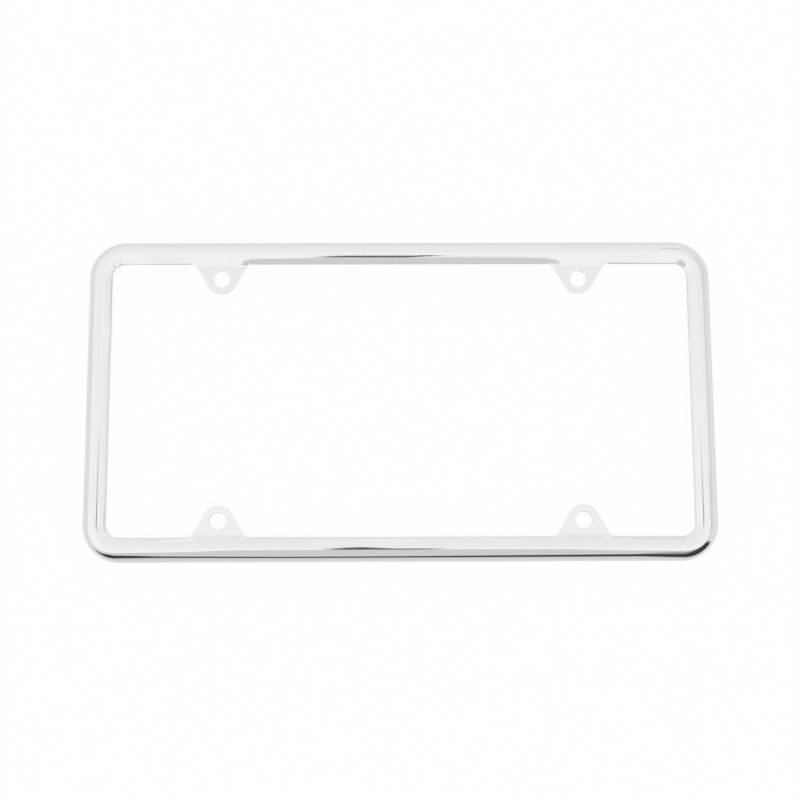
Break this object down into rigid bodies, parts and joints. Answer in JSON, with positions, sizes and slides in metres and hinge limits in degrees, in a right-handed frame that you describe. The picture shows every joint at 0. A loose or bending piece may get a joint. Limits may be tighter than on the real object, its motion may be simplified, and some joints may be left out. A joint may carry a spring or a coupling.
{
  "type": "number plate holder",
  "caption": "Slim rounded metal frame that grips the edge of a vehicle number plate, with flat tabs drilled for the plate's fixing bolts.",
  "frame": {"origin": "centre of the frame's outline, in the plane of the back rim that it lies on", "axes": "+X along the long side, +Y towards the top edge of the plate, +Z out of the front face"},
  "size_m": [0.3104, 0.16, 0.008],
  "materials": {
    "chrome": "bright chrome plating on stamped steel sheet"
  },
  "bodies": {
    "root": {"plate_frame": "chrome"}
  },
  "joints": []
}
